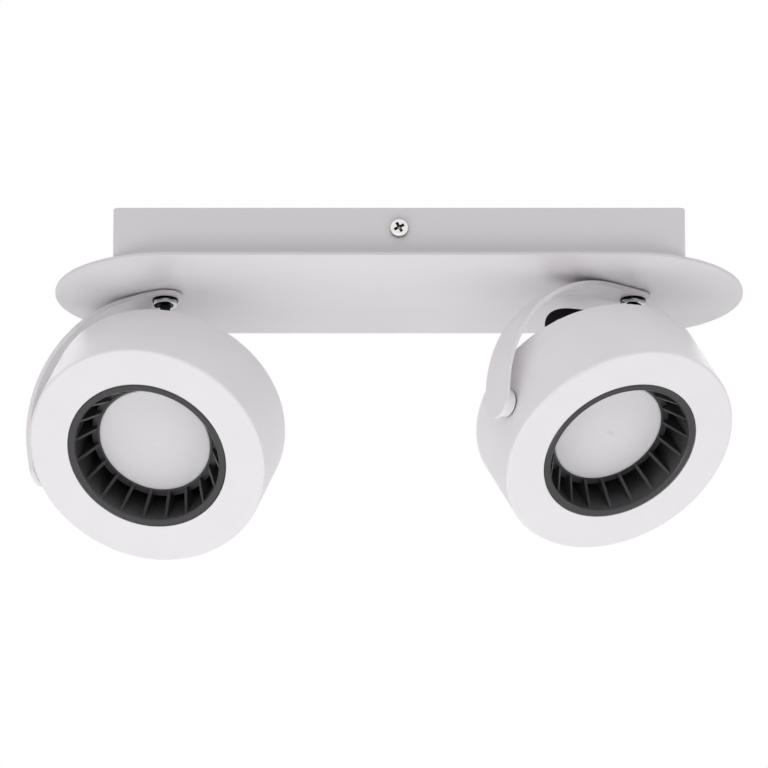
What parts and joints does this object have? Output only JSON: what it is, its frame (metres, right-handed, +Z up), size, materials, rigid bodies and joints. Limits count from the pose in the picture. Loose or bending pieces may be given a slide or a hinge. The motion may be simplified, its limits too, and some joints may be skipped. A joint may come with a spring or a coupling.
{
  "type": "two-head spotlight",
  "caption": "White spotlight bar: boxed ceiling canopy on a racetrack plate, swivelling one-sided arms and tilting drum heads with black finned recesses and opal diffusers.",
  "frame": {"origin": "middle of the ceiling bracket's screw pattern, on the ceiling plane", "axes": "+X along the bar to the viewer's right, +Z up into the ceiling, -Y toward the viewer"},
  "size_m": [0.313, 0.1183, 0.1341],
  "materials": {
    "white_sheet": "white powder coat, satin",
    "white_casting": "white powder-coated casting, satin",
    "black_casting": "black powder-coated casting, matte",
    "opal": "opal, satin",
    "chrome": "polished",
    "zinc_steel": "zinc plated",
    "nickel_steel": "nickel plated",
    "black_steel": "black oxide",
    "black_nylon": "graphite filled, matte",
    "black_lead": "matte",
    "nylon": "natural nylon",
    "board": "white solder mask",
    "phosphor": "matte",
    "driver_case": "matte",
    "brass": "plain",
    "foam": "matte"
  },
  "bodies": {
    "base": {"mounting_bracket": "zinc_steel", "canopy_box": "white_sheet", "base_plate": "white_sheet", "canopy_screws": "nickel_steel", "driver_pad": "foam", "led_driver": "driver_case", "terminal_block": "nylon", "terminal_screws": "brass", "earth_stud": "zinc_steel", "earth_nut": "brass", "stop_pins": "zinc_steel", "friction_washers": "black_nylon", "upper_friction_washers": "black_nylon"},
    "arm_left": {"arm_left": "white_sheet", "swivel_nipple_left": "black_steel", "swivel_nut_left": "chrome", "lock_washer_left": "black_steel", "swivel_upper_nut_left": "zinc_steel", "swivel_spring_left": "zinc_steel", "stop_washer_left": "zinc_steel", "tilt_boss_left": "white_sheet", "tilt_washer_left": "black_nylon", "tilt_screw_left": "zinc_steel", "head_lead_left": "black_lead"},
    "head_left": {"drum_left": "white_casting", "rear_cover_left": "white_casting", "light_engine_left": "black_casting", "locking_ring_left": "black_casting", "diffuser_left": "opal", "led_board_left": "board", "lead_grommet_left": "black_lead", "tilt_spring_left": "zinc_steel", "cover_screws_left": "zinc_steel", "board_screws_left": "zinc_steel", "led_chips_left": "phosphor"},
    "arm_right": {"arm_right": "white_sheet", "swivel_nipple_right": "black_steel", "swivel_nut_right": "chrome", "lock_washer_right": "black_steel", "swivel_upper_nut_right": "zinc_steel", "swivel_spring_right": "zinc_steel", "stop_washer_right": "zinc_steel", "tilt_boss_right": "white_sheet", "tilt_washer_right": "black_nylon", "tilt_screw_right": "zinc_steel", "head_lead_right": "black_lead"},
    "head_right": {"drum_right": "white_casting", "rear_cover_right": "white_casting", "light_engine_right": "black_casting", "locking_ring_right": "black_casting", "diffuser_right": "opal", "led_board_right": "board", "lead_grommet_right": "black_lead", "tilt_spring_right": "zinc_steel", "cover_screws_right": "zinc_steel", "board_screws_right": "zinc_steel", "led_chips_right": "phosphor"}
  },
  "joints": [
    {"name": "swivel_left", "type": "hinge", "parent": "base", "child": "arm_left", "pos_m": [-0.102, 0, -0.0242], "axis": [0, 0, 1], "range_deg": [-132, 188]},
    {"name": "tilt_left", "type": "hinge", "parent": "arm_left", "child": "head_left", "pos_m": [-0.10547, 0.00807, -0.0871], "axis": [-0.8793, 0.4675, -0.0906], "range_deg": [-75.5, 14.5], "deforming": ["head_lead_left"]},
    {"name": "swivel_right", "type": "hinge", "parent": "base", "child": "arm_right", "pos_m": [0.102, 0, -0.0242], "axis": [0, 0, 1], "range_deg": [-197, 123]},
    {"name": "tilt_right", "type": "hinge", "parent": "arm_right", "child": "head_right", "pos_m": [0.08949, -0.00254, -0.08697], "axis": [-0.7985, -0.6017, -0.0157], "range_deg": [-71.3, 18.7], "deforming": ["head_lead_right"]}
  ]
}
